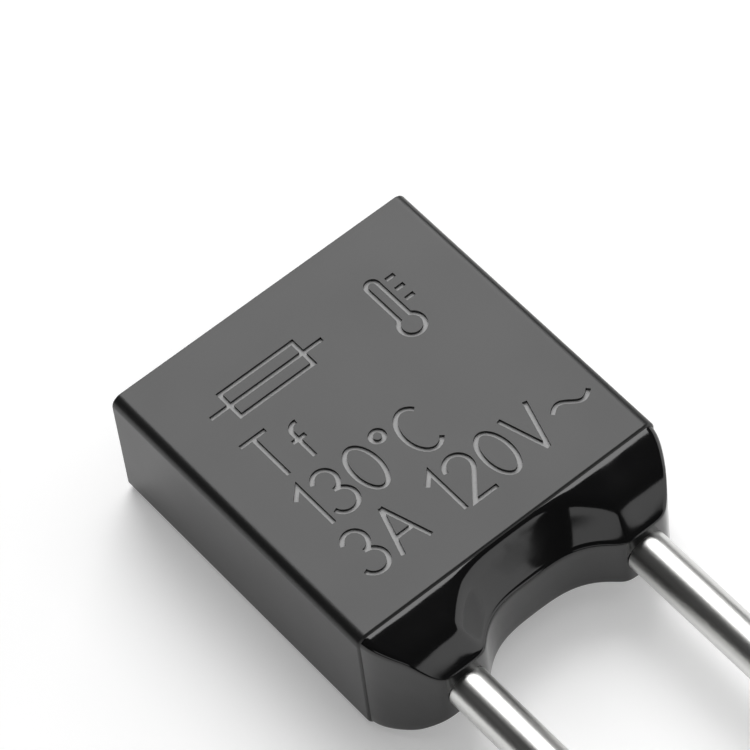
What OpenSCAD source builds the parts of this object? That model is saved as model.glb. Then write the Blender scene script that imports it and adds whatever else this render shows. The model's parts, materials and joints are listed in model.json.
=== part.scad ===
// Radial thermal fuse with a fusible alloy link.
// Lengths in millimetres. X runs across the case, the leads point to -Y, Z is up.
// The origin is the middle of the case's flat underside.

/* [Case] */
// Width of the case across the leads
case_w = 6.1; // [5.8:0.1:8]
// Length of the case from its mouth to its closed end
case_len = 6.2; // [5.6:0.1:9]
// Thickness of the case
case_t = 2.5; // [2.3:0.1:3.5]
// Wall on each side
side_wall = 0.45; // [0.3:0.05:0.5]
// Wall over and under the chamber
face_wall = 0.5; // [0.3:0.05:0.55]
// Wall at the closed end
back_wall = 0.6; // [0.4:0.05:1]
// Rounding of the four long edges
edge_r = 0.2; // [0.1:0.05:0.4]
// Rounding of the chamber's long edges
chamber_r = 0.15; // [0.1:0.05:0.3]

/* [Leads] */
// Wire diameter
lead_d = 0.75; // [0.5:0.05:0.9]
// Distance between the two wire axes
lead_pitch = 3.7; // [3.2:0.1:3.9]
// Length of wire that stands free of the seal
lead_free = 35; // [5:1:70]
// Length of wire past the seal, inside the chamber
lead_stub = 2.2; // [1.5:0.1:2.8]
// Length of the squared neck that the seal grips
neck_len = 1; // [0.8:0.1:1.5]
// How deep each flat of the neck is pressed into the wire
neck_press = 0.07; // [0.05:0.01:0.1]
// Rounding of the neck's four edges
neck_r = 0.15; // [0.1:0.01:0.15]

/* [Seal] */
// Depth of the seal inside the case mouth
plug_depth = 1.4; // [0.8:0.1:1.8]
// How far the seal is drawn out along each lead
seal_tip = 1.1; // [0.9:0.05:1.6]
// How far the seal stands out midway between the leads
seal_saddle = 0.53; // [0.3:0.01:0.8]
// Thickness of the seal along its front edge
seal_lip = 1.1; // [1:0.05:1.5]
// Width of the steep band behind the front edge
steep_band = 0.45; // [0.3:0.05:0.6]
// Width over which the steep band fades into the gentle slope
steep_fade = 0.3; // [0.1:0.05:0.4]
// Resin beside the wire where it leaves the seal
wire_film = 0.04; // [0.03:0.01:0.1]
// Straight collar of the seal before its shoulders turn in
seal_collar = 0.06; // [0.02:0.01:0.15]
// Step from the case's outside in to the seal
seal_step = 0.04; // [0.02:0.01:0.08]

/* [Link] */
// Diameter of the alloy link between its beads
link_d = 0.7; // [0.5:0.05:0.9]
// Alloy around the wire at each bead
bead_wall = 0.2; // [0.15:0.05:0.25]
// Alloy left on the outer side of the wire, as the bead draws in towards the link
bead_skin = 0.05; // [0.03:0.01:0.1]
// Length of wire past the middle of its bead
bead_bite = 0.2; // [0.1:0.05:0.25]
// Flux beyond the bead, towards the closed end
flux_cover = 0.4; // [0.2:0.1:0.8]

/* [Hidden] */
$fn = 64;

mid_z = case_t / 2;
mouth_y = -case_len / 2;
lead_x = lead_pitch / 2;
plug_y = mouth_y + plug_depth;
chamber_end_y = case_len / 2 - back_wall;
lead_end_y = plug_y + lead_stub;
seal_front_y = mouth_y - seal_tip;
neck_end_y = seal_front_y + neck_len;
lead_tip_y = seal_front_y - lead_free;
neck_w = lead_d - 2 * neck_press;
bead_r = lead_d / 2 + bead_wall;
bead_x = lead_x + lead_d / 2 + bead_skin - bead_r;
link_y = lead_end_y - bead_bite;
flux_end_y = link_y + bead_r + flux_cover;

// The flat tip of the seal round each wire
tip_half = lead_d / 2 + wire_film;
tip_in_x = lead_x - tip_half;
tip_out_x = lead_x + tip_half;

// The seal's section where it leaves the mouth
seal_half = case_w / 2 - seal_step;
seal_rise = case_t / 2 - seal_step;
ridge_r = edge_r - seal_step;
// Rounding of the ridge over the side wall, where it reaches the wire
ridge_tip_r = 0.06;

// Powers of the curves that the resin takes between the leads and on its shoulders
saddle_power = 3.2;
shoulder_power = 1.25;
// Slope of the gentle part, as a share of the steep band's slope
gentle_share = 0.24;
// On the outer shoulders: share of the fall that is a straight slope, the rest turns down at the tip
slope_share = 0.4;
turn_power = 2.5;

// Steps of the seal's skin: over a shoulder, across one half of the saddle, and down the slope
shoulder_steps = 10;
saddle_steps = 12;
slope_steps = 7;
// How much the steps down the slope draw together towards the front edge
slope_crowding = 0.8;

// Extrudes a section drawn in X and Z from y0 to y1
module along_y(y0, y1) {
    translate([0, y1, 0])
        rotate([90, 0, 0])
            linear_extrude(y1 - y0) children();
}

// Rectangle with round corners, centred on the leads' plane
module section(w, t, r) {
    translate([0, mid_z]) {
        square([w - 2 * r, t], center = true);
        square([w, t - 2 * r], center = true);
        for (x = [-1, 1], z = [-1, 1])
            translate([x * (w / 2 - r), z * (t / 2 - r)]) circle(r);
    }
}

module chamber_section() {
    section(case_w - 2 * side_wall, case_t - 2 * face_wall, chamber_r);
}

module wire_section() {
    translate([0, mid_z]) circle(d = lead_d);
}

// One wire, on the left (-1) or the right (1): round, with a squared neck just inside the seal
module lead(side) {
    translate([side * lead_x, 0, 0]) {
        along_y(lead_tip_y, seal_front_y) wire_section();
        along_y(seal_front_y, neck_end_y) section(neck_w, neck_w, neck_r);
        along_y(neck_end_y, lead_end_y) wire_section();
    }
}

// The link before the wires are fused into it: a round bar with a bead at each end
module link_blank() {
    translate([0, link_y, mid_z]) {
        rotate([0, 90, 0]) cylinder(d = link_d, h = 2 * bead_x, center = true);
        for (side = [-1, 1])
            translate([side * bead_x, 0, 0]) sphere(bead_r);
    }
}

// Stations across the seal's front, from the outside of a shoulder to the middle: [x, reach from the mouth]
shoulder_stations = [
    for (i = [0 : shoulder_steps])
        let (a = 90 * i / shoulder_steps)
        [
            tip_out_x + (seal_half - tip_out_x) * pow(cos(a), 2 / shoulder_power),
            seal_collar + (seal_tip - seal_collar) * pow(sin(a), 2 / shoulder_power)
        ]
];
saddle_stations = [
    for (i = [0 : saddle_steps])
        let (share = 1 - i / saddle_steps)
        [
            tip_in_x * share,
            seal_saddle + (seal_tip - seal_saddle) * pow(share, saddle_power)
        ]
];
half_stations = concat(shoulder_stations, saddle_stations);
station_count = 2 * len(half_stations) - 1;
function station(i) =
    i < len(half_stations) ? half_stations[i]
    : let (s = half_stations[station_count - 1 - i]) [-s[0], s[1]];

// Half width of the seal at a reach from the mouth
function shoulder_half(reach) =
    let (share = max(0, reach - seal_collar) / (seal_tip - seal_collar))
    tip_out_x + (seal_half - tip_out_x) * pow(max(0, 1 - pow(share, shoulder_power)), 1 / shoulder_power);

// The front edge between the wires' outer sides, drawn on straight past them
front_line = [
    [seal_half, seal_tip],
    for (s = saddle_stations) s,
    for (i = [saddle_steps - 1 : -1 : 0]) [-saddle_stations[i][0], saddle_stations[i][1]],
    [-seal_half, seal_tip]
];

function distance_to(p, a, b) =
    let (share = (p - a) * (b - a) / ((b - a) * (b - a)))
    norm(p - a - min(1, max(0, share)) * (b - a));

// How far a place on the seal lies behind its front edge
function behind_front(p) =
    min([for (i = [0 : len(front_line) - 2]) distance_to(p, front_line[i], front_line[i + 1])]);

// Relative rise of the seal's face from its front edge to a distance behind it
function rise(behind) =
    let (fade = min(max(behind - steep_band + steep_fade / 2, 0), steep_fade))
    let (steep = min(behind, steep_band + steep_fade / 2) - fade * fade / (2 * steep_fade))
    gentle_share * behind + (1 - gentle_share) * steep;

// 0 over the wires and between them, 1 on the outer side of each shoulder
function outer_part(x) =
    let (share = min(1, max(0, (abs(x) - lead_x) / (seal_half - lead_x))))
    share * share * (3 - 2 * share);

// Fall of the seal's face at x, at a reach from the mouth
function slope_fall(x, reach) =
    let (behind = behind_front([x, reach]))
    let (inner = reach > 0 ? 1 - rise(behind) / rise(behind + reach) : 0)
    let (share = reach / seal_tip)
    let (outer = slope_share * share + (1 - slope_share) * pow(share, turn_power))
    (seal_rise - seal_lip / 2) * (inner + outer_part(x) * (outer - inner));

// Fall of the rounded ridge over the side wall, for a distance in from that wall
function ridge_fall(inset, reach) =
    let (r = ridge_r + (ridge_tip_r - ridge_r) * min(1, reach / seal_tip))
    let (d = r - min(max(inset, 0), r))
    r - sqrt(r * r - d * d);

// Half thickness of the seal at x, at a reach from the mouth
function seal_half_t(x, reach) =
    seal_rise - slope_fall(x, reach) - ridge_fall(shoulder_half(reach) - abs(x), reach);

// The skin's points at one station: down the upper face to the front edge, and back along the lower face
function station_points(s) =
    let (shares = [for (k = [0 : slope_steps]) pow(k / slope_steps, slope_crowding)])
    let (upper = [for (g = shares) [s[0], g * s[1], seal_half_t(s[0], g * s[1])]])
    [
        for (p = upper) [p[0], mouth_y - p[1], mid_z + p[2]],
        for (k = [slope_steps : -1 : 0]) let (p = upper[k]) [p[0], mouth_y - p[1], mid_z - p[2]]
    ];

// Resin outside the mouth: a skin over the stations, flat against the case's end
module seal_nose() {
    ring = 2 * (slope_steps + 1);
    points = [for (i = [0 : station_count - 1]) each station_points(station(i))];
    sides = [
        for (i = [0 : station_count - 2], j = [0 : ring - 1])
            let (a = i * ring + j, b = i * ring + (j + 1) % ring)
            each [[a, b, a + ring], [b, b + ring, a + ring]]
    ];
    first_end = [for (j = [ring - 1 : -1 : 0]) j];
    last_end = [for (j = [0 : ring - 1]) (station_count - 1) * ring + j];
    polyhedron(points, concat(sides, [first_end, last_end]));
}

// Moulded case: a block with round long edges, bored out from the mouth
module case() {
    color("#4c4c4e")
        difference() {
            along_y(mouth_y, case_len / 2) section(case_w, case_t, edge_r);
            along_y(mouth_y - case_len, chamber_end_y) chamber_section();
        }
}

// Potted seal: a plug in the mouth and the resin drawn out along the wires
module seal() {
    color("#1b1b1c")
        difference() {
            union() {
                along_y(mouth_y - seal_saddle / 2, plug_y) chamber_section();
                seal_nose();
            }
            lead(-1);
            lead(1);
        }
}

module lead_left() {
    color("#c9cacb") lead(-1);
}

module lead_right() {
    color("#c9cacb") lead(1);
}

// Alloy link, with the wires' inner ends fused into its beads
module fusible_link() {
    color("#a9aba8")
        difference() {
            link_blank();
            lead(-1);
            lead(1);
        }
}

// Flux resin that fills the chamber round the link, with air behind it
module flux() {
    color("#b07a2c")
        difference() {
            along_y(plug_y, flux_end_y) chamber_section();
            link_blank();
            lead(-1);
            lead(1);
        }
}

case();
seal();
lead_left();
lead_right();
fusible_link();
flux();
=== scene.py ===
# %% [markdown]
# A radial thermal fuse: a flat moulded case, a potted resin seal and two tinned wires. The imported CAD
# model is the fixed frame. It gives every size and place, and nothing here moves it. Each step below
# makes one finish or one piece, and says how it could be made and why this way was chosen.

# %% Load the frame
import json
import math

import bmesh
import bpy
import numpy as np
from mathutils import Matrix, Vector


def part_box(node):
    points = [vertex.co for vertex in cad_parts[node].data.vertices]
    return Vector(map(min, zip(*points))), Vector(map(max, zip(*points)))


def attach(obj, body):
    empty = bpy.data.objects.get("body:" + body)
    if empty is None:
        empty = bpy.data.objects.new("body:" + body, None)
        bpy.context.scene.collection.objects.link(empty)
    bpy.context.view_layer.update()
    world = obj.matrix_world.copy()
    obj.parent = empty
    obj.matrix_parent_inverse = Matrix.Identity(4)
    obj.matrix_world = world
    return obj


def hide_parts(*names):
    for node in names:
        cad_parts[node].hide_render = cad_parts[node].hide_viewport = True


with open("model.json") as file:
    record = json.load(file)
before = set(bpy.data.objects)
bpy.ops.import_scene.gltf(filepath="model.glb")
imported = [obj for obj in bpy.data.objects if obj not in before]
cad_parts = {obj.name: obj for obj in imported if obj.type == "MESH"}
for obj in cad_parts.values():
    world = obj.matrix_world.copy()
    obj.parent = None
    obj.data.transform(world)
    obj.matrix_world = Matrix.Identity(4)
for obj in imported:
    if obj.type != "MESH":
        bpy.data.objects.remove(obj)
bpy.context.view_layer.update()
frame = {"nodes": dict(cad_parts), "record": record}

print("CAD nodes:", sorted(frame["nodes"]))

# %% [markdown]
# Sizes come first, so that every later cell can use them. They could be typed in again, but then they
# could drift away from the CAD model. Reading the boxes of the nodes and the mounts of the record keeps
# one source for each size.

# %% Sizes from the frame, in millimetres
MM = 0.001
case_low, case_high = (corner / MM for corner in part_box("case"))
seal_low, seal_high = (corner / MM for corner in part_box("seal"))
lead_low, lead_high = (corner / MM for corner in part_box("lead_left"))
flux_low, flux_high = (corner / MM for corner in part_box("flux"))
mounts = {mount["name"]: mount for mount in frame["record"]["mounts"]}

case_half_w = case_high.x
case_t = case_high.z
mid_z = case_t / 2
mouth_y = case_low.y
back_y = case_high.y
seal_front_y = seal_low.y
plug_y = seal_high.y
lead_r = mounts["right_lead"]["dims"]["r_mm"]
lead_x = mounts["right_lead"]["pos_m"][0] / MM
chamber_half_w = flux_high.x
chamber_half_t = (flux_high.z - flux_low.z) / 2
print(f"case {2 * case_half_w:.2f} x {back_y - mouth_y:.2f} x {case_t:.2f} mm")
print(f"wires {2 * lead_r:.2f} mm thick, {2 * lead_x:.2f} mm apart")

# %% [markdown]
# The camera looks down on the fuse from the front left, through a long lens. It could be aimed by hand
# until the picture fits. Here the place, the two angles and the tilt of the horizon come from a fit to
# the straight edges of the case and the wires, so they are plain numbers. A long lens keeps the case's
# edges nearly parallel, as they are in close-up pictures of small parts.

# %% Camera
camera_at = Vector((-25.48, -38.92, 69.05))
camera_azimuth = -33.2
camera_elevation = 54.65
camera_roll = -7.98
focal_length_px = 5123
frame_px = 750
sensor_mm = 36
nearest_m = 0.001


def direction(azimuth, elevation):
    """Unit vector from the object: azimuth 0 is towards -Y, 90 towards +X."""
    a, e = math.radians(azimuth), math.radians(elevation)
    return Vector((math.sin(a) * math.cos(e), -math.cos(a) * math.cos(e), math.sin(e)))


camera = bpy.data.objects.new("camera", bpy.data.cameras.new("camera"))
bpy.context.scene.collection.objects.link(camera)
bpy.context.scene.camera = camera
camera.data.sensor_width = sensor_mm
camera.data.lens = sensor_mm * focal_length_px / frame_px
camera.data.clip_start = nearest_m
turn = direction(camera_azimuth, camera_elevation).to_track_quat("Z", "Y").to_matrix().to_4x4()
tilt = Matrix.Rotation(math.radians(camera_roll), 4, "Z")
camera.matrix_world = Matrix.Translation(camera_at * MM) @ turn @ tilt


def pixel(x, y, z):
    """Where a point in millimetres lands in the picture."""
    seen = camera.matrix_world.inverted() @ (Vector((x, y, z)) * MM)
    scale = focal_length_px / -seen.z
    return round(frame_px / 2 + seen.x * scale, 1), round(frame_px / 2 - seen.y * scale, 1)


print("back corners at", pixel(-case_half_w, back_y, case_t), pixel(case_half_w, back_y, case_t))
print("front corners at", pixel(-case_half_w, mouth_y, case_t), pixel(case_half_w, mouth_y, case_t))

# %% [markdown]
# Materials are node trees. One small function adds a node, fills its sockets and joins it to earlier
# nodes, and another turns the sRGB hex colours that people write into the linear ones that sockets
# hold. A third works out a pattern's scale from its real size, so that no scale is a guess.

# %% Helpers for materials


def linear(hex_code):
    """The linear colour, with alpha, of an sRGB hex code."""
    channels = [int(hex_code[i:i + 2], 16) / 255 for i in (1, 3, 5)]
    return [c / 12.92 if c <= 0.04045 else ((c + 0.055) / 1.055) ** 2.4 for c in channels] + [1.0]


def add(tree, kind, settings=None, links=None):
    """Adds a node. Settings fill its sockets or properties, links join its sockets to other outputs."""
    node = tree.nodes.new(kind)
    for key, value in (settings or {}).items():
        if isinstance(key, str) and hasattr(node, key):
            setattr(node, key, value)
        else:
            node.inputs[key].default_value = value
    for key, source in (links or {}).items():
        tree.links.new(source, node.inputs[key])
    return node


def start_material(name):
    """A material with an empty node tree."""
    material = bpy.data.materials.new(name)
    material.use_nodes = True
    material.node_tree.nodes.clear()
    return material, material.node_tree


def per(size_mm):
    """The scale at which a pattern repeats about once in size_mm, on coordinates in metres."""
    return 1 / (size_mm * MM)


print("#808080 is", round(linear("#808080")[0], 3), "in linear light, and 0.1 mm is a scale of", per(0.1))

# %% [markdown]
# The fuse lies on a table painted off-white. More light would turn the table white, but would also
# bleach the fuse. A faint glow does it instead. Only the camera and reflections see the glow, so it
# lights nothing, and the shadow stays, because the paint under the glow still goes dark.

# %% White table
table_glow = 0.3
table_half_m = 1.5
table_finish, tree = start_material("white_table")
path = add(tree, "ShaderNodeLightPath")
seen = add(tree, "ShaderNodeMath", {"operation": "ADD"},
           {0: path.outputs["Is Camera Ray"], 1: path.outputs["Is Glossy Ray"]})
seen = add(tree, "ShaderNodeMath", {"operation": "ADD", "use_clamp": True},
           {0: seen.outputs[0], 1: path.outputs["Is Transmission Ray"]})
strength = add(tree, "ShaderNodeMath", {"operation": "MULTIPLY", 1: table_glow}, {0: seen.outputs[0]})
glow = add(tree, "ShaderNodeEmission", {}, {"Strength": strength.outputs[0]})
paint = add(tree, "ShaderNodeBsdfDiffuse", {"Color": linear("#e7e7e7")})
both = add(tree, "ShaderNodeAddShader", {}, {0: paint.outputs[0], 1: glow.outputs[0]})
add(tree, "ShaderNodeOutputMaterial", {}, {"Surface": both.outputs[0]})

table_mesh = bpy.data.meshes.new("table")
corner_signs = [(-1, -1), (1, -1), (1, 1), (-1, 1)]
table_corners = [(table_half_m * sx, table_half_m * sy, 0) for sx, sy in corner_signs]
table_mesh.from_pydata(table_corners, [], [(0, 1, 2, 3)])
table_mesh.materials.append(table_finish)
table = bpy.data.objects.new("table", table_mesh)
bpy.context.scene.collection.objects.link(table)
print("table", 2 * table_half_m, "m wide")

# %% [markdown]
# Black plastic shows mostly what it mirrors, so the room is arranged for its reflections. The upper
# face mirrors a soft box behind the fuse. The steep band of the seal mirrors two white cards, low at
# the right and the left. Upright walls mirror the table, and what leans forward mirrors the dim room
# and goes black. The cards could be planes of white paint. As lamps about as bright as the table, they
# stay as they are when other lamps change. A broad lamp overhead fills the shadows, and is kept out of
# reflections.

# %% Room and lamps
room = bpy.data.worlds.new("dim_room")
room.use_nodes = True
room.node_tree.nodes["Background"].inputs["Color"].default_value = linear("#3a3a3a")
bpy.context.scene.world = room
bpy.context.scene.view_settings.view_transform = "Standard"

# Each lamp: name, azimuth and elevation in degrees, distance, width and height in metres, brightness
lamps = [
    ("soft_box_behind", camera_azimuth + 177, 49, 0.6, 0.42, 0.6, 3.9),
    ("fill_overhead", 90, 72, 0.8, 0.8, 0.8, 1.2),
    ("white_card_right", 62, 14, 0.5, 1.0, 0.26, 1.3),
    ("white_card_left", -42, 21, 0.5, 0.5, 0.11, 1.1),
]
for name, azimuth, elevation, distance, width, height, brightness in lamps:
    lamp = bpy.data.objects.new(name, bpy.data.lights.new(name, "AREA"))
    bpy.context.scene.collection.objects.link(lamp)
    lamp.data.shape = "RECTANGLE"
    lamp.data.size, lamp.data.size_y = width, height
    lamp.data.energy = brightness * math.pi * width * height
    towards = direction(azimuth, elevation)
    lamp.location = towards * distance
    lamp.rotation_euler = towards.to_track_quat("Z", "Y").to_euler()
    lamp.visible_camera = False
    lamp.visible_glossy = name != "fill_overhead"
    print(name, round(lamp.data.energy, 2), "W")

# %% [markdown]
# The case is moulded from a black phenolic compound. The mould was polished and then lightly blasted,
# so the skin is satin: it mirrors the soft box as one even grey, with a grain too fine to see singly. A
# noise on the colour and a low bump give that grain, and a broad noise clouds the roughness. The grain
# is drawn at 0.05 mm, a few times coarser than the real one, so that it shows at all.

# %% Moulded phenolic
grain_mm, grain_height_mm = 0.05, 0.002
cloud_mm = 1.5
# Most of a noise lies in this span, so it is what a range starts from
noise_span = {"From Min": 0.3, "From Max": 0.7}
phenolic, tree = start_material("moulded_phenolic")
coords = add(tree, "ShaderNodeTexCoord")
grain = add(tree, "ShaderNodeTexNoise", {"Scale": per(grain_mm), "Detail": 3.0},
            {"Vector": coords.outputs["Object"]})
clouds = add(tree, "ShaderNodeTexNoise", {"Scale": per(cloud_mm), "Detail": 4.0},
             {"Vector": coords.outputs["Object"]})
satin = add(tree, "ShaderNodeMapRange", {**noise_span, "To Min": 0.33, "To Max": 0.36},
            {"Value": clouds.outputs["Fac"]})
tone = add(tree, "ShaderNodeMix", {"data_type": "RGBA", 6: linear("#161616"), 7: linear("#1b1b1b")},
           {0: grain.outputs["Fac"]})
relief = add(tree, "ShaderNodeBump", {"Strength": 0.15, "Distance": grain_height_mm * MM},
             {"Height": grain.outputs["Fac"]})
shader = add(tree, "ShaderNodeBsdfPrincipled", {"IOR": 1.5},
             {"Base Color": tone.outputs[2], "Roughness": satin.outputs[0], "Normal": relief.outputs[0]})
add(tree, "ShaderNodeOutputMaterial", {}, {"Surface": shader.outputs[0]})
print("finish:", phenolic.name, "with a grain of", grain_mm, "mm")

# %% [markdown]
# The marks are burnt in by a laser. It foams the black compound to a dry, pale grey at the bottom of
# each groove, which reads as light strokes. The walls of the grooves stay black. The ash is drawn at
# 0.03 mm, coarse enough to break up the strokes a little.

# %% Laser-burnt phenolic
ash_mm, ash_height_mm = 0.03, 0.004
burnt, tree = start_material("laser_burnt_phenolic")
coords = add(tree, "ShaderNodeTexCoord")
ash = add(tree, "ShaderNodeTexNoise", {"Scale": per(ash_mm), "Detail": 3.0},
          {"Vector": coords.outputs["Object"]})
tone = add(tree, "ShaderNodeMix", {"data_type": "RGBA", 6: linear("#9c9c9c"), 7: linear("#b4b4b4")},
           {0: ash.outputs["Fac"]})
relief = add(tree, "ShaderNodeBump", {"Strength": 0.3, "Distance": ash_height_mm * MM},
             {"Height": ash.outputs["Fac"]})
shader = add(tree, "ShaderNodeBsdfPrincipled", {"IOR": 1.5, "Roughness": 0.7},
             {"Base Color": tone.outputs[2], "Normal": relief.outputs[0]})
add(tree, "ShaderNodeOutputMaterial", {}, {"Surface": shader.outputs[0]})
print("finish:", burnt.name, "with an ash of", ash_mm, "mm")

# %% [markdown]
# The seal is black potting epoxy. It sets from a liquid, so its skin is glossy and slightly wavy, and
# it mirrors the cards and the dim room in clear patches. A low, broad bump bends those patches a
# little.

# %% Potting epoxy
ripple_mm, ripple_height_mm = 0.6, 0.02
epoxy, tree = start_material("potting_epoxy")
coords = add(tree, "ShaderNodeTexCoord")
ripple = add(tree, "ShaderNodeTexNoise", {"Scale": per(ripple_mm), "Detail": 1.0},
             {"Vector": coords.outputs["Object"]})
gloss = add(tree, "ShaderNodeMapRange", {**noise_span, "To Min": 0.08, "To Max": 0.12},
            {"Value": ripple.outputs["Fac"]})
tone = add(tree, "ShaderNodeMix", {"data_type": "RGBA", 6: linear("#0c0c0d"), 7: linear("#101010")},
           {0: ripple.outputs["Fac"]})
relief = add(tree, "ShaderNodeBump", {"Strength": 0.35, "Distance": ripple_height_mm * MM},
             {"Height": ripple.outputs["Fac"]})
shader = add(tree, "ShaderNodeBsdfPrincipled", {"IOR": 1.53},
             {"Base Color": tone.outputs[2], "Roughness": gloss.outputs[0], "Normal": relief.outputs[0]})
add(tree, "ShaderNodeOutputMaterial", {}, {"Surface": shader.outputs[0]})
print("finish:", epoxy.name, "with ripples of", ripple_mm, "mm")

# %% [markdown]
# The leads are copper wire with a bright coat of tin. Drawing the wire through a die leaves faint lines
# along it, which stretch highlights around the wire. A noise squeezed across the wire and drawn out
# along it makes those lines in the roughness and the bump. They are drawn at 0.04 mm, coarser than real
# ones, so that they show.

# %% Tinned copper wire
die_line_mm, die_line_height_mm = 0.04, 0.002
line_stretch = 60
tin, tree = start_material("tinned_copper")
coords = add(tree, "ShaderNodeTexCoord")
drawn = add(tree, "ShaderNodeMapping", {"Scale": (1, 1 / line_stretch, 1)},
            {"Vector": coords.outputs["Object"]})
lines = add(tree, "ShaderNodeTexNoise", {"Scale": per(die_line_mm), "Detail": 2.0},
            {"Vector": drawn.outputs[0]})
polish = add(tree, "ShaderNodeMapRange", {**noise_span, "To Min": 0.28, "To Max": 0.36},
             {"Value": lines.outputs["Fac"]})
tone = add(tree, "ShaderNodeMix", {"data_type": "RGBA", 6: linear("#d6d6d4"), 7: linear("#e2e2e0")},
           {0: lines.outputs["Fac"]})
relief = add(tree, "ShaderNodeBump", {"Strength": 0.1, "Distance": die_line_height_mm * MM},
             {"Height": lines.outputs["Fac"]})
shader = add(tree, "ShaderNodeBsdfPrincipled", {"Metallic": 1.0},
             {"Base Color": tone.outputs[2], "Roughness": polish.outputs[0], "Normal": relief.outputs[0]})
add(tree, "ShaderNodeOutputMaterial", {}, {"Surface": shader.outputs[0]})
print("finish:", tin.name, "with die lines of", die_line_mm, "mm")

# %% [markdown]
# Two materials are sealed inside, and only a cut fuse shows them. The link is a low-melting alloy, cast
# and dull, with grains that catch the light in patches. Cells of a Voronoi pattern are close to such
# grains.

# %% Low-melting alloy
crystal_mm = 0.15
alloy, tree = start_material("low_melting_alloy")
coords = add(tree, "ShaderNodeTexCoord")
crystals = add(tree, "ShaderNodeTexVoronoi", {"Scale": per(crystal_mm)},
               {"Vector": coords.outputs["Object"]})
tone = add(tree, "ShaderNodeMix", {"data_type": "RGBA", 6: linear("#a2a4a1"), 7: linear("#b9bab6")},
           {0: crystals.outputs["Distance"]})
dull = add(tree, "ShaderNodeMapRange", {"To Min": 0.3, "To Max": 0.45},
           {"Value": crystals.outputs["Distance"]})
shader = add(tree, "ShaderNodeBsdfPrincipled", {"Metallic": 1.0},
             {"Base Color": tone.outputs[2], "Roughness": dull.outputs[0]})
add(tree, "ShaderNodeOutputMaterial", {}, {"Surface": shader.outputs[0]})
print("finish:", alloy.name, "with grains of", crystal_mm, "mm")

# %% [markdown]
# The flux round the link is an amber rosin that has set from a melt, smooth with a slight haze. New
# meshes could be made for the link and the flux. Nothing outside shows them, so they keep their CAD
# shapes, and only their finish is given here.

# %% Rosin flux
haze_mm = 0.5
rosin, tree = start_material("rosin_flux")
coords = add(tree, "ShaderNodeTexCoord")
haze = add(tree, "ShaderNodeTexNoise", {"Scale": per(haze_mm), "Detail": 3.0},
           {"Vector": coords.outputs["Object"]})
tone = add(tree, "ShaderNodeMix", {"data_type": "RGBA", 6: linear("#a86f22"), 7: linear("#c08a3a")},
           {0: haze.outputs["Fac"]})
shader = add(tree, "ShaderNodeBsdfPrincipled", {"IOR": 1.53, "Roughness": 0.15},
             {"Base Color": tone.outputs[2]})
add(tree, "ShaderNodeOutputMaterial", {}, {"Surface": shader.outputs[0]})

for node_name, finish in (("fusible_link", alloy), ("flux", rosin)):
    inner_piece = frame["nodes"][node_name]
    inner_piece.data.materials.clear()
    inner_piece.data.materials.append(finish)
    print(node_name, "is now", finish.name)

# %% [markdown]
# The pieces are meshes made of rings and strips of points in millimetres. Two helpers serve most of
# them: one joins a list of rings into a skin, and one turns points and faces into an object. Blender's
# own primitives would do for plain shapes, but not for sections that change on the way.

# %% Helpers for meshes


def skin(rings):
    """Faces that join rings of equal length, each to the next, with a cap on the first and the last."""
    count = len(rings[0])
    faces = []
    for k in range(len(rings) - 1):
        for j in range(count):
            a, b = k * count + j, k * count + (j + 1) % count
            faces.append((a, b, b + count, a + count))
    faces.append(tuple(reversed(range(count))))
    faces.append(tuple((len(rings) - 1) * count + j for j in range(count)))
    return faces


def new_piece(name, points, faces, finishes):
    """A mesh object from points in millimetres."""
    mesh = bpy.data.meshes.new(name)
    mesh.from_pydata([Vector(p) * MM for p in points], [], faces)
    for finish in finishes:
        mesh.materials.append(finish)
    piece = bpy.data.objects.new(name, mesh)
    bpy.context.scene.collection.objects.link(piece)
    return piece


print("two square rings make a box of", len(skin([range(4)] * 2)), "faces")

# %% [markdown]
# The case is a moulded box, open at the mouth, with round long edges and crisp ends. It could be a cube
# with bevels. Here the section is drawn once and carried along the case in rings, because the ends then
# get their own small rounding, and the chamber is lined with the same kind of ring.

# %% Section of the case
edge_r = 0.2


def round_section(half_w, half_t, r, steps=12):
    """Points of a rectangle with round corners, in X and Z, centred on the wires' plane."""
    points = []
    for corner, (sx, sz) in enumerate(((1, 1), (-1, 1), (-1, -1), (1, -1))):
        for k in range(steps + 1):
            a = math.radians(90 * (corner + k / steps))
            x, z = sx * (half_w - r), mid_z + sz * (half_t - r)
            points.append((x + r * math.cos(a), z + r * math.sin(a)))
    return points


print(len(round_section(case_half_w, case_t / 2, edge_r)), "points round the case")

# %% [markdown]
# The rings run from the closed end to the mouth, and from there back into the chamber and to its end.
# Rings near an end are a little smaller, which rounds it. A bevel would round both ends alike. Here the
# mouth is rounded a little more, so that its edge shows as a fine line along the seam with the resin.

# %% Rings of the case
end_r = 0.03
mouth_r = 0.05
chamber_r = 0.15
back_wall = 0.6
end_steps = 4

rings = []
for k in range(end_steps + 1):
    a = math.radians(90 * k / end_steps)
    inset, back_off = end_r * (1 - math.sin(a)), end_r * (1 - math.cos(a))
    section = round_section(case_half_w - inset, case_t / 2 - inset, edge_r - inset)
    rings.append([(x, back_y - back_off, z) for x, z in section])
for k in range(end_steps + 1):
    a = math.radians(90 * k / end_steps)
    inset, back_off = mouth_r * (1 - math.cos(a)), mouth_r * (1 - math.sin(a))
    section = round_section(case_half_w - inset, case_t / 2 - inset, edge_r - inset)
    rings.append([(x, mouth_y + back_off, z) for x, z in section])
chamber = round_section(chamber_half_w, chamber_half_t, chamber_r)
rings.append([(x, mouth_y, z) for x, z in chamber])
rings.append([(x, back_y - back_wall, z) for x, z in chamber])
case = new_piece("moulded_case", [p for ring in rings for p in ring], skin(rings), [phenolic, burnt])
print(case.name, "is made of", len(rings), "rings")

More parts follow.
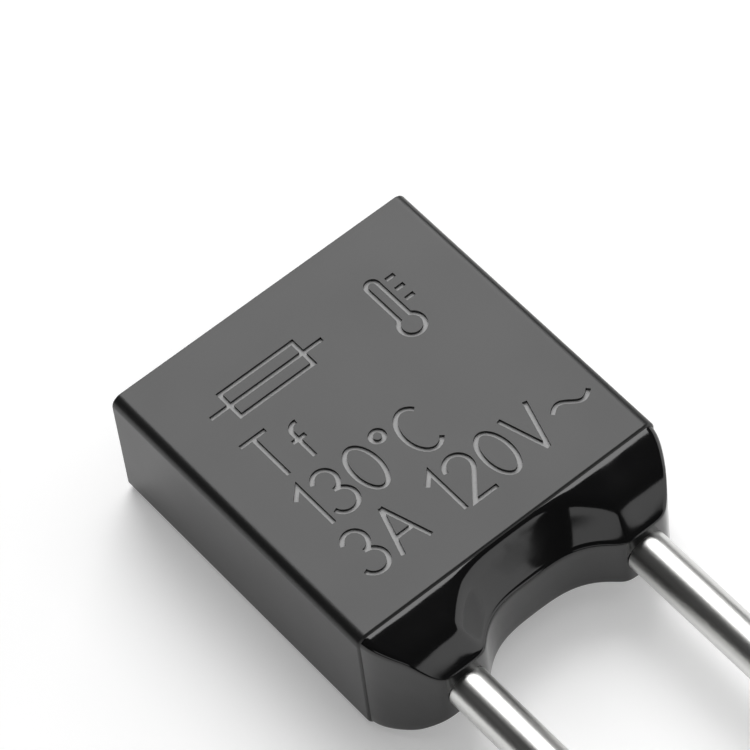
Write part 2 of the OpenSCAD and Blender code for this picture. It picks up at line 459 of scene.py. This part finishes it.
# %% [markdown]
# The marks on the upper face are plain numbers with units, the sign for a fuse and a thermometer. A
# font could draw the numbers, but its strokes have an outline and no centre line. A laser follows a
# line. So each sign is a few centre lines with straight or round stretches, drawn for this part.

# %% Shapes of the signs


def arc(cx, cy, rx, ry, start, end, steps=20):
    """Points on an ellipse from one angle to another, in degrees."""
    angles = [math.radians(start + (end - start) * k / steps) for k in range(steps + 1)]
    return [(cx + rx * math.cos(a), cy + ry * math.sin(a)) for a in angles]


def wave(x0, x1, y, rise, steps=20):
    """One full swing of a sine."""
    shares = [k / steps for k in range(steps + 1)]
    return [(x0 + (x1 - x0) * s, y + rise * math.sin(2 * math.pi * s)) for s in shares]


# Each sign: its width and its strokes, with the height of a capital as the unit
signs = {
    "0": (0.52, [arc(0.26, 0.5, 0.26, 0.5, 0, 360, 40)]),
    "1": (0.24, [[(0, 0.77), (0.22, 1), (0.22, 0)]]),
    "2": (0.5, [arc(0.25, 0.73, 0.25, 0.27, 172, -35) + [(0, 0), (0.5, 0)]]),
    "3": (0.5, [arc(0.23, 0.76, 0.22, 0.24, 165, -90), arc(0.23, 0.26, 0.26, 0.26, 90, -165)]),
    "A": (0.62, [[(0, 0), (0.31, 1)], [(0.31, 1), (0.62, 0)], [(0.12, 0.36), (0.5, 0.36)]]),
    "C": (0.56, [arc(0.32, 0.5, 0.32, 0.5, 48, 312)]),
    "T": (0.56, [[(0, 1), (0.56, 1)], [(0.28, 1), (0.28, 0)]]),
    "V": (0.6, [[(0, 1), (0.3, 0)], [(0.3, 0), (0.6, 1)]]),
    "f": (0.32, [arc(0.3, 0.62, 0.17, 0.16, 80, 180) + [(0.13, 0)], [(0, 0.46), (0.29, 0.46)]]),
    "degree": (0.25, [arc(0.125, 0.87, 0.125, 0.125, 0, 360)]),
    "alternating": (0.82, [wave(0, 0.82, 0.46, 0.11)]),
}
print(len(signs), "signs drawn")

# %% [markdown]
# The signs stand in rows across the upper face: the kind of temperature, its value, and the current and
# the voltage. Each sign could get a place of its own. Setting a row from left to right with one gap
# keeps the signs evenly apart.

# %% Rows of signs
cap_height = 0.92
sign_gap = 0.17
left_x, volts_x = -2.1, -0.4
row_y = [1.25, 0.04, -1.15, -2.35]


def line_of_signs(names, x, y):
    """Centre lines of a row of signs that starts at x and stands on y."""
    strokes = []
    for name in names:
        width, shapes = signs[name]
        strokes += [[(x + u * cap_height, y + v * cap_height) for u, v in shape] for shape in shapes]
        x += (width + sign_gap) * cap_height
    return strokes


strokes = line_of_signs("Tf", left_x, row_y[1])
strokes += line_of_signs(["1", "3", "0", "degree", "C"], left_x, row_y[2])
strokes += line_of_signs("3A", left_x, row_y[3])
strokes += line_of_signs(["1", "2", "0", "V", "alternating"], volts_x, row_y[3])
print(len(strokes), "strokes in the rows")

# %% [markdown]
# The sign for a fuse is a box on a line. The thermometer is a bulb and a stem in one outline, with
# three ticks. They could be set as characters of a symbol font. Both are so plain that a few lengths
# give them.

# %% Fuse sign and thermometer
fuse_w, fuse_h, fuse_tail = 1.5, 0.56, 0.4
fuse_x, fuse_y = left_x + fuse_tail, row_y[0] + (cap_height - fuse_h) / 2
strokes.append([(fuse_x, fuse_y), (fuse_x + fuse_w, fuse_y), (fuse_x + fuse_w, fuse_y + fuse_h),
                (fuse_x, fuse_y + fuse_h), (fuse_x, fuse_y)])
strokes.append([(left_x, fuse_y + fuse_h / 2), (fuse_x + fuse_w + fuse_tail, fuse_y + fuse_h / 2)])

bulb_x, bulb_y, bulb_r = 1.45, 0.95, 0.22
stem_r, stem_top = 0.11, 1.95
tick_count, first_tick, tick_gap = 3, 0.45, 0.25
tick_start, tick_end = 0.24, 0.42
neck_angle = math.degrees(math.asin(stem_r / bulb_r))
outline = arc(bulb_x, bulb_y, bulb_r, bulb_r, 90 + neck_angle, 450 - neck_angle, 36)
outline += arc(bulb_x, stem_top, stem_r, stem_r, 0, 180)
strokes.append(outline + [outline[0]])
for tick in range(tick_count):
    tick_y = bulb_y + first_tick + tick_gap * tick
    strokes.append([(bulb_x + tick_start, tick_y), (bulb_x + tick_end, tick_y)])
print(len(strokes), "strokes in all")

# %% [markdown]
# The laser leaves a groove of even width along each centre line. A bump could show it, but real grooves
# have walls that show from every side. So each line becomes a ribbon, with its corners mitred, and each
# ribbon becomes a small prism that reaches from above the face to the bottom of the groove.

# %% Prisms along the strokes
stroke_w = 0.085
groove_depth = 0.05
over_face = 0.02
sharpest_mitre = 0.4


def ribbon(line, width):
    """Left and right edges of a ribbon along a line, mitred at its corners, and whether it closes."""
    line = np.array(line)
    closed = np.allclose(line[0], line[-1])
    if closed:
        line = line[:-1]
    ahead = np.roll(line, -1, 0) - line
    behind = line - np.roll(line, 1, 0)
    if not closed:
        ahead[-1] = behind[-1]
        behind[0] = ahead[0]
    ahead = ahead / np.linalg.norm(ahead, axis=1)[:, None]
    behind = behind / np.linalg.norm(behind, axis=1)[:, None]
    side = np.stack([-(ahead + behind)[:, 1], (ahead + behind)[:, 0]], 1)
    side = side / np.linalg.norm(side, axis=1)[:, None]
    across = np.stack([-ahead[:, 1], ahead[:, 0]], 1)
    stretch = 1 / np.clip((side * across).sum(1), sharpest_mitre, 1)
    offset = side * stretch[:, None] * width / 2
    return line + offset, line - offset, closed


groove_top, groove_floor = case_t + over_face, case_t - groove_depth
points, faces = [], []
for line in strokes:
    left, right, closed = ribbon(line, stroke_w)
    start, count = len(points), len(left)
    for on_left, on_right in zip(left, right):
        points += [(*on_left, groove_top), (*on_right, groove_top)]
        points += [(*on_right, groove_floor), (*on_left, groove_floor)]
    for k in range(count if closed else count - 1):
        a, b = start + 4 * k, start + 4 * ((k + 1) % count)
        for j in range(4):
            i = (j + 1) % 4
            faces.append((a + i, b + i, b + j, a + j))
    if not closed:
        last = start + 4 * (count - 1)
        faces.append(tuple(start + j for j in reversed(range(4))))
        faces.append(tuple(last + j for j in range(4)))
mark_cutter = new_piece("mark_cutter", points, faces, [phenolic])
print("the prisms have", len(faces), "faces")

# %% [markdown]
# One exact boolean cuts all prisms out of the case, also where they cross each other. The cut leaves
# plain black grooves. Faces that lie on the bottom of a groove then get the burnt finish.

# %% Cut the marks
floor_play = groove_depth / 10
facing_up = 0.9

cut = case.modifiers.new("cut", "BOOLEAN")
cut.operation = "DIFFERENCE"
cut.solver = "EXACT"
cut.use_self = True
cut.object = mark_cutter
bpy.context.view_layer.update()
evaluated_case = case.evaluated_get(bpy.context.evaluated_depsgraph_get())
marked_mesh = bpy.data.meshes.new_from_object(evaluated_case)
case.modifiers.clear()
case.data = marked_mesh
bpy.data.objects.remove(mark_cutter)

for face in case.data.polygons:
    on_floor = abs(face.center.z / MM - groove_floor) < floor_play
    face.material_index = 1 if on_floor and face.normal.z > facing_up else 0
print(sum(face.material_index for face in case.data.polygons), "faces are burnt")

# %% [markdown]
# A finished piece rides on the fuse's body and stands for its CAD node. It could be shaded flat, but
# then its roundings would show their facets. It shades smoothly instead, except at sharp edges, and
# large faces set the direction of the shading, so that flat faces look flat.

# %% Seat the case
sharp_angle = math.radians(35)


def seat(piece, node_name):
    """Shades the piece, rides it on the body and lets it stand for its CAD node."""
    piece.data.shade_smooth()
    piece.data.set_sharp_from_angle(angle=sharp_angle)
    flat_first = piece.modifiers.new("flat_faces_first", "WEIGHTED_NORMAL")
    flat_first.keep_sharp = True
    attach(piece, "root")
    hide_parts(node_name)
    print(piece.name, "has", len(piece.data.polygons), "faces")


seat(case, "case")

# %% [markdown]
# The seal is resin that was poured round the wires and drew up along them before it set. From above,
# its edge runs in from the case's sides to a tip at each wire, and sags back to a bay between them. It
# could be sculpted, but the same curves as in the CAD model can be drawn finer here. The edge is drawn
# as one line of even points, and a running average softens its corners, as surface tension does.

# %% Outline of the seal
# Lengths and powers of the curves, as in the CAD model
seal_saddle = 0.53
seal_collar = 0.06
wire_film = 0.04
saddle_power = 3.2
shoulder_power = 1.25
# Fineness of the line, and how far a corner is softened
curve_points = 60
outline_step = 0.01
column_step = 3 * outline_step
corner_blur = 0.12

seal_half = seal_high.x
seal_tip = mouth_y - seal_front_y
tip_in_x = lead_x - lead_r - wire_film
tip_out_x = lead_x + lead_r + wire_film


def resample(line, step):
    """The same line with evenly spaced points."""
    run = np.concatenate([[0], np.cumsum(np.linalg.norm(np.diff(line, axis=0), axis=1))])
    even = np.linspace(0, run[-1], int(run[-1] / step) + 1)
    return np.stack([np.interp(even, run, line[:, k]) for k in range(2)], 1)


turn_angles = np.linspace(0, math.pi / 2, curve_points)
shoulder_x = tip_out_x + (seal_half - tip_out_x) * np.cos(turn_angles) ** (2 / shoulder_power)
shoulder_y = seal_collar + (seal_tip - seal_collar) * np.sin(turn_angles) ** (2 / shoulder_power)
saddle_x = np.linspace(tip_in_x, 0, curve_points)
saddle_y = seal_saddle + (seal_tip - seal_saddle) * (saddle_x / tip_in_x) ** saddle_power
half_line = np.concatenate([
    [(seal_half, 0)],
    np.stack([shoulder_x, shoulder_y], 1),
    np.stack([saddle_x, saddle_y], 1),
])
plan = resample(np.concatenate([half_line, half_line[-2::-1] * [-1, 1]]), outline_step)
# Each pass adds half a squared step to the squared spread, and together they spread a corner by corner_blur
for _ in range(int(2 * (corner_blur / outline_step) ** 2)):
    plan[1:-1] = (plan[:-2] + 2 * plan[1:-1] + plan[2:]) / 4
plan = resample(plan, column_step)
print(len(plan), "columns, from", plan[0].round(2), "to", plan[-1].round(2))

# %% [markdown]
# From the side, the seal's face falls away from the mouth, first gently and then in a steep band, to an
# upright front. Two curves joined end to end could give that, but would leave a crease. Here one table
# holds the slope by the distance behind the front edge: a narrow flat rim, the steep band, which leans
# back a little at its foot, and the gentle part. The rise from the edge to a place is the sum of the
# slopes on the way.

# %% Slope of the seal's face
steep_width, steep_fade = 0.45, 0.3
gentle_slope = 0.24
rim_width, rim_slope = 0.07, 0.1
lean_width, lean_slope = 0.35, 0.8
slope_samples = 400


def ease(u):
    """A soft step from 0 to 1."""
    u = np.clip(u, 0, 1)
    return u ** 2 * (3 - 2 * u)


sample_behind = np.linspace(0, 2 * seal_tip, slope_samples)
steep = 1 - ease((sample_behind - steep_width) / steep_fade + 0.5)
flat_rim = rim_slope + (1 - rim_slope) * ease(sample_behind / rim_width)
lean = lean_slope + (1 - lean_slope) * ease(sample_behind / lean_width)
sample_rise = np.cumsum(gentle_slope + (1 - gentle_slope) * steep * flat_rim * lean)
sample_rise = sample_rise - sample_rise[0]


def rise(behind):
    """How far the face rises from the front edge to a distance behind it, in relative steps."""
    return np.interp(behind, sample_behind, sample_rise)


print(f"{rise(steep_width) / rise(seal_tip):.0%} of the fall at a wire is in the steep band")

# %% [markdown]
# The face has to meet the mouth at full height and the front edge at the lip's height, whatever lies
# between. So the rise is taken as a share of the whole rise on the way from the edge to the mouth. The
# resin sags most in the middle of the bay: the lip may dip there, and the steep band widens. Outside
# the wires, the face turns by a given share into a rounder lobe.

# %% Thickness of the seal
seal_lip = 1.1
bay_stretch = 0.3
roll_over = 0.06
lobe_slope_share, lobe_power = 0.4, 2.5
seal_rise = seal_high.z - mid_z

front_middle = plan[np.abs(plan[:, 0]) < lead_x]
front_line = np.concatenate([[(seal_half, seal_tip)], front_middle, [(-seal_half, seal_tip)]])
front_line = resample(front_line, outline_step)


def half_thickness(x, reach, lobe_round, dip):
    """Half the seal's thickness at places in plan, before its edge is rounded."""
    places = np.stack([x, reach], 1)
    behind = np.linalg.norm(places[:, None] - front_line[None], axis=2).min(1)
    eased = np.sqrt(reach ** 2 + roll_over ** 2) - roll_over
    middle_share = (1 - np.minimum(np.abs(x) / lead_x, 1) ** 2) ** 2
    squeeze = 1 - bay_stretch * middle_share
    way = np.maximum(behind + eased, outline_step)
    inner = 1 - rise(squeeze * behind) / rise(squeeze * way)
    share = np.clip(eased / seal_tip, 0, 1)
    outer = lobe_slope_share * share + (1 - lobe_slope_share) * share ** lobe_power
    lobe = lobe_round * ease((np.abs(x) - lead_x) / (seal_half - lead_x))
    lip_half = seal_lip / 2 - dip * middle_share
    return seal_rise - (seal_rise - lip_half) * (inner + lobe * (outer - inner))


at_mouth, at_edge = half_thickness(np.array([0, 0]), np.array([0, seal_saddle]), 0, 0)
print(f"the seal's middle is {2 * at_mouth:.2f} mm thick at the mouth, {2 * at_edge:.2f} mm at the edge")

# %% [markdown]
# The skin is made of columns. Each one runs from the mouth down the slope, round the edge and down the
# front to its middle. A bevel on a finished mesh could round the edge, but it would have one width all
# along. Here the rounding starts at the pitch of the slope, which is probed a little behind the edge,
# and it gets tighter towards the wires.

# %% Columns of the seal's skin
ridge_r = edge_r - (case_half_w - seal_half)
ridge_tip_r = 0.06
probe = 0.02
slope_steps, ridge_steps, wall_steps = 24, 8, 6

along = np.gradient(plan, axis=0)
along[0] = along[1] * [0, 1]
along[-1] = along[-2] * [0, 1]
along = along / np.linalg.norm(along, axis=1)[:, None]
outward = np.stack([along[:, 1], -along[:, 0]], 1)


def column(k, lobe_round, dip):
    """Half of one column: points (x, reach, half thickness) from the mouth to the front's middle."""
    edge, out = plan[k], outward[k]
    reach_share = min(edge[1] / seal_tip, 1)
    r = ridge_r + (ridge_tip_r - ridge_r) * reach_share
    pair = np.stack([edge, edge - out * probe])
    edge_t, behind_t = half_thickness(pair[:, 0], pair[:, 1], lobe_round, dip)
    pitch = math.atan2(max(behind_t - edge_t, 0), probe)
    inset = r * (1 - math.sin(pitch))
    slope_end = edge - out * inset
    slope_end[1] = max(slope_end[1], 0)
    start = np.array([math.copysign(min(abs(edge[0]), seal_half - ridge_r), edge[0]), 0])
    slope_line = start + (slope_end - start) * np.linspace(0, 1, slope_steps + 1)[:, None]
    slope_t = half_thickness(slope_line[:, 0], slope_line[:, 1], lobe_round, dip)
    points = [(*place, t) for place, t in zip(slope_line, slope_t)]
    centre_t = points[-1][2] - r * math.cos(pitch)
    for s in np.linspace(0, 1, ridge_steps + 1)[1:]:
        a = pitch + (math.pi / 2 - pitch) * s
        x, reach = edge - out * r * (1 - math.sin(a))
        points.append((x, max(reach, 0), centre_t + r * math.cos(a)))
    for s in np.linspace(0, 1, wall_steps + 1)[1:]:
        points.append((edge[0], edge[1], centre_t * (1 - s)))
    return points


print("half a column has", len(column(0, 0, 0)), "points")

# %% [markdown]
# The upper side has crisp lobes and a lip that dips in the bay. The lower side is plainer, with rounder
# lobes and a straight lip, so it can't be the upper one mirrored. Each column is made twice, once for
# each side, and the two halves meet in the front's middle.

# %% Skin of the seal
upper_round, lower_round = 0.2, 1.0
bay_dip = 0.1

columns = []
for k in range(len(plan)):
    upper = [(x, mouth_y - reach, mid_z + t) for x, reach, t in column(k, upper_round, bay_dip)]
    lower = [(x, mouth_y - reach, mid_z - t) for x, reach, t in column(k, lower_round, 0)]
    columns.append(upper + lower[-2::-1])
size = len(columns[0])
points = [p for line in columns for p in line]
faces = []
for k in range(len(columns) - 1):
    for j in range(size - 1):
        a, b = k * size + j, (k + 1) * size + j
        faces.append((a, b, b + 1, a + 1))
print(len(columns), "columns of", size, "points")

# %% [markdown]
# Behind the skin, resin fills the mouth of the chamber. The ring where the skin meets the mouth is
# drawn in to the chamber's size, and that smaller ring is carried on to the plug's end. A separate plug
# would leave a seam inside. Columns that start at one corner share their first point, so such points
# are then made one.

# %% Plug and seat of the seal
weld_mm = 0.00001

last = len(columns) - 1
mouth_ring = [k * size for k in range(last)] + [last * size + j for j in range(size - 1)]
mouth_ring += [k * size + size - 1 for k in range(last, 0, -1)] + list(range(size - 1, 0, -1))
narrow, thin = chamber_half_w / seal_half, chamber_half_t / seal_rise
back_rings = [mouth_ring]
for y in (mouth_y, plug_y):
    back_rings.append(list(range(len(points), len(points) + len(mouth_ring))))
    points += [(points[i][0] * narrow, y, mid_z + (points[i][2] - mid_z) * thin) for i in mouth_ring]
for outer_ring, inner_ring in zip(back_rings, back_rings[1:]):
    for j in range(len(mouth_ring)):
        i = (j + 1) % len(mouth_ring)
        faces.append((outer_ring[j], inner_ring[j], inner_ring[i], outer_ring[i]))
faces.append(tuple(reversed(back_rings[-1])))
seal = new_piece("resin_seal", points, faces, [epoxy])

shape = bmesh.new()
shape.from_mesh(seal.data)
bmesh.ops.remove_doubles(shape, verts=shape.verts, dist=weld_mm * MM)
shape.to_mesh(seal.data)
open_edges = sum(not edge.is_manifold for edge in shape.edges)
volume = shape.calc_volume(signed=True) / MM ** 3
shape.free()
print(f"{seal.name} has {open_edges} open edges and holds {volume:.2f} mm3")
seat(seal, "seal")

# %% [markdown]
# The wires are straight, with cut ends. A cylinder would do for the length that shows. Rings of points
# along the wire also give the small rounding that the cutter leaves on the outer end, and the squared
# neck that the resin grips.

# %% Rings of a wire
wire_sides = 48
cut_r = 0.05
neck_len = 1.0
neck_press = 0.07
neck_r = 0.15
wire_end_y, wire_inner_y = lead_low.y, lead_high.y
neck_end_y = seal_front_y + neck_len


def wire_ring(y, r):
    """A round ring of the right-hand wire."""
    angles = [2 * math.pi * k / wire_sides for k in range(wire_sides)]
    return [(lead_x + r * math.cos(a), y, mid_z + r * math.sin(a)) for a in angles]


def neck_ring(y):
    """A square ring with round corners, with as many points as a round one."""
    half = lead_r - neck_press
    section = round_section(half, half, neck_r, wire_sides // 4 - 1)
    return [(lead_x + x, y, z) for x, z in section]


rings = [wire_ring(wire_inner_y, lead_r), wire_ring(neck_end_y, lead_r), neck_ring(neck_end_y),
         neck_ring(seal_front_y), wire_ring(seal_front_y, lead_r)]
for k in range(end_steps + 1):
    a = math.radians(90 * k / end_steps)
    rings.append(wire_ring(wire_end_y + cut_r * (1 - math.sin(a)), lead_r - cut_r * (1 - math.cos(a))))
print(len(rings), "rings along", round(wire_inner_y - wire_end_y, 2), "mm of wire")

# %% [markdown]
# The left wire is the right one mirrored. A mirrored face looks inwards, so its points are taken in
# reverse. A Mirror modifier would do the same, but would keep both wires in one piece.

# %% Both wires
for name, node_name, side in (("wire_left", "lead_left", -1), ("wire_right", "lead_right", 1)):
    points = [(side * x, y, z) for ring in rings for x, y, z in ring]
    faces = skin(rings)
    if side < 0:
        faces = [tuple(reversed(face)) for face in faces]
    wire = new_piece(name, points, faces, [tin])
    seat(wire, node_name)
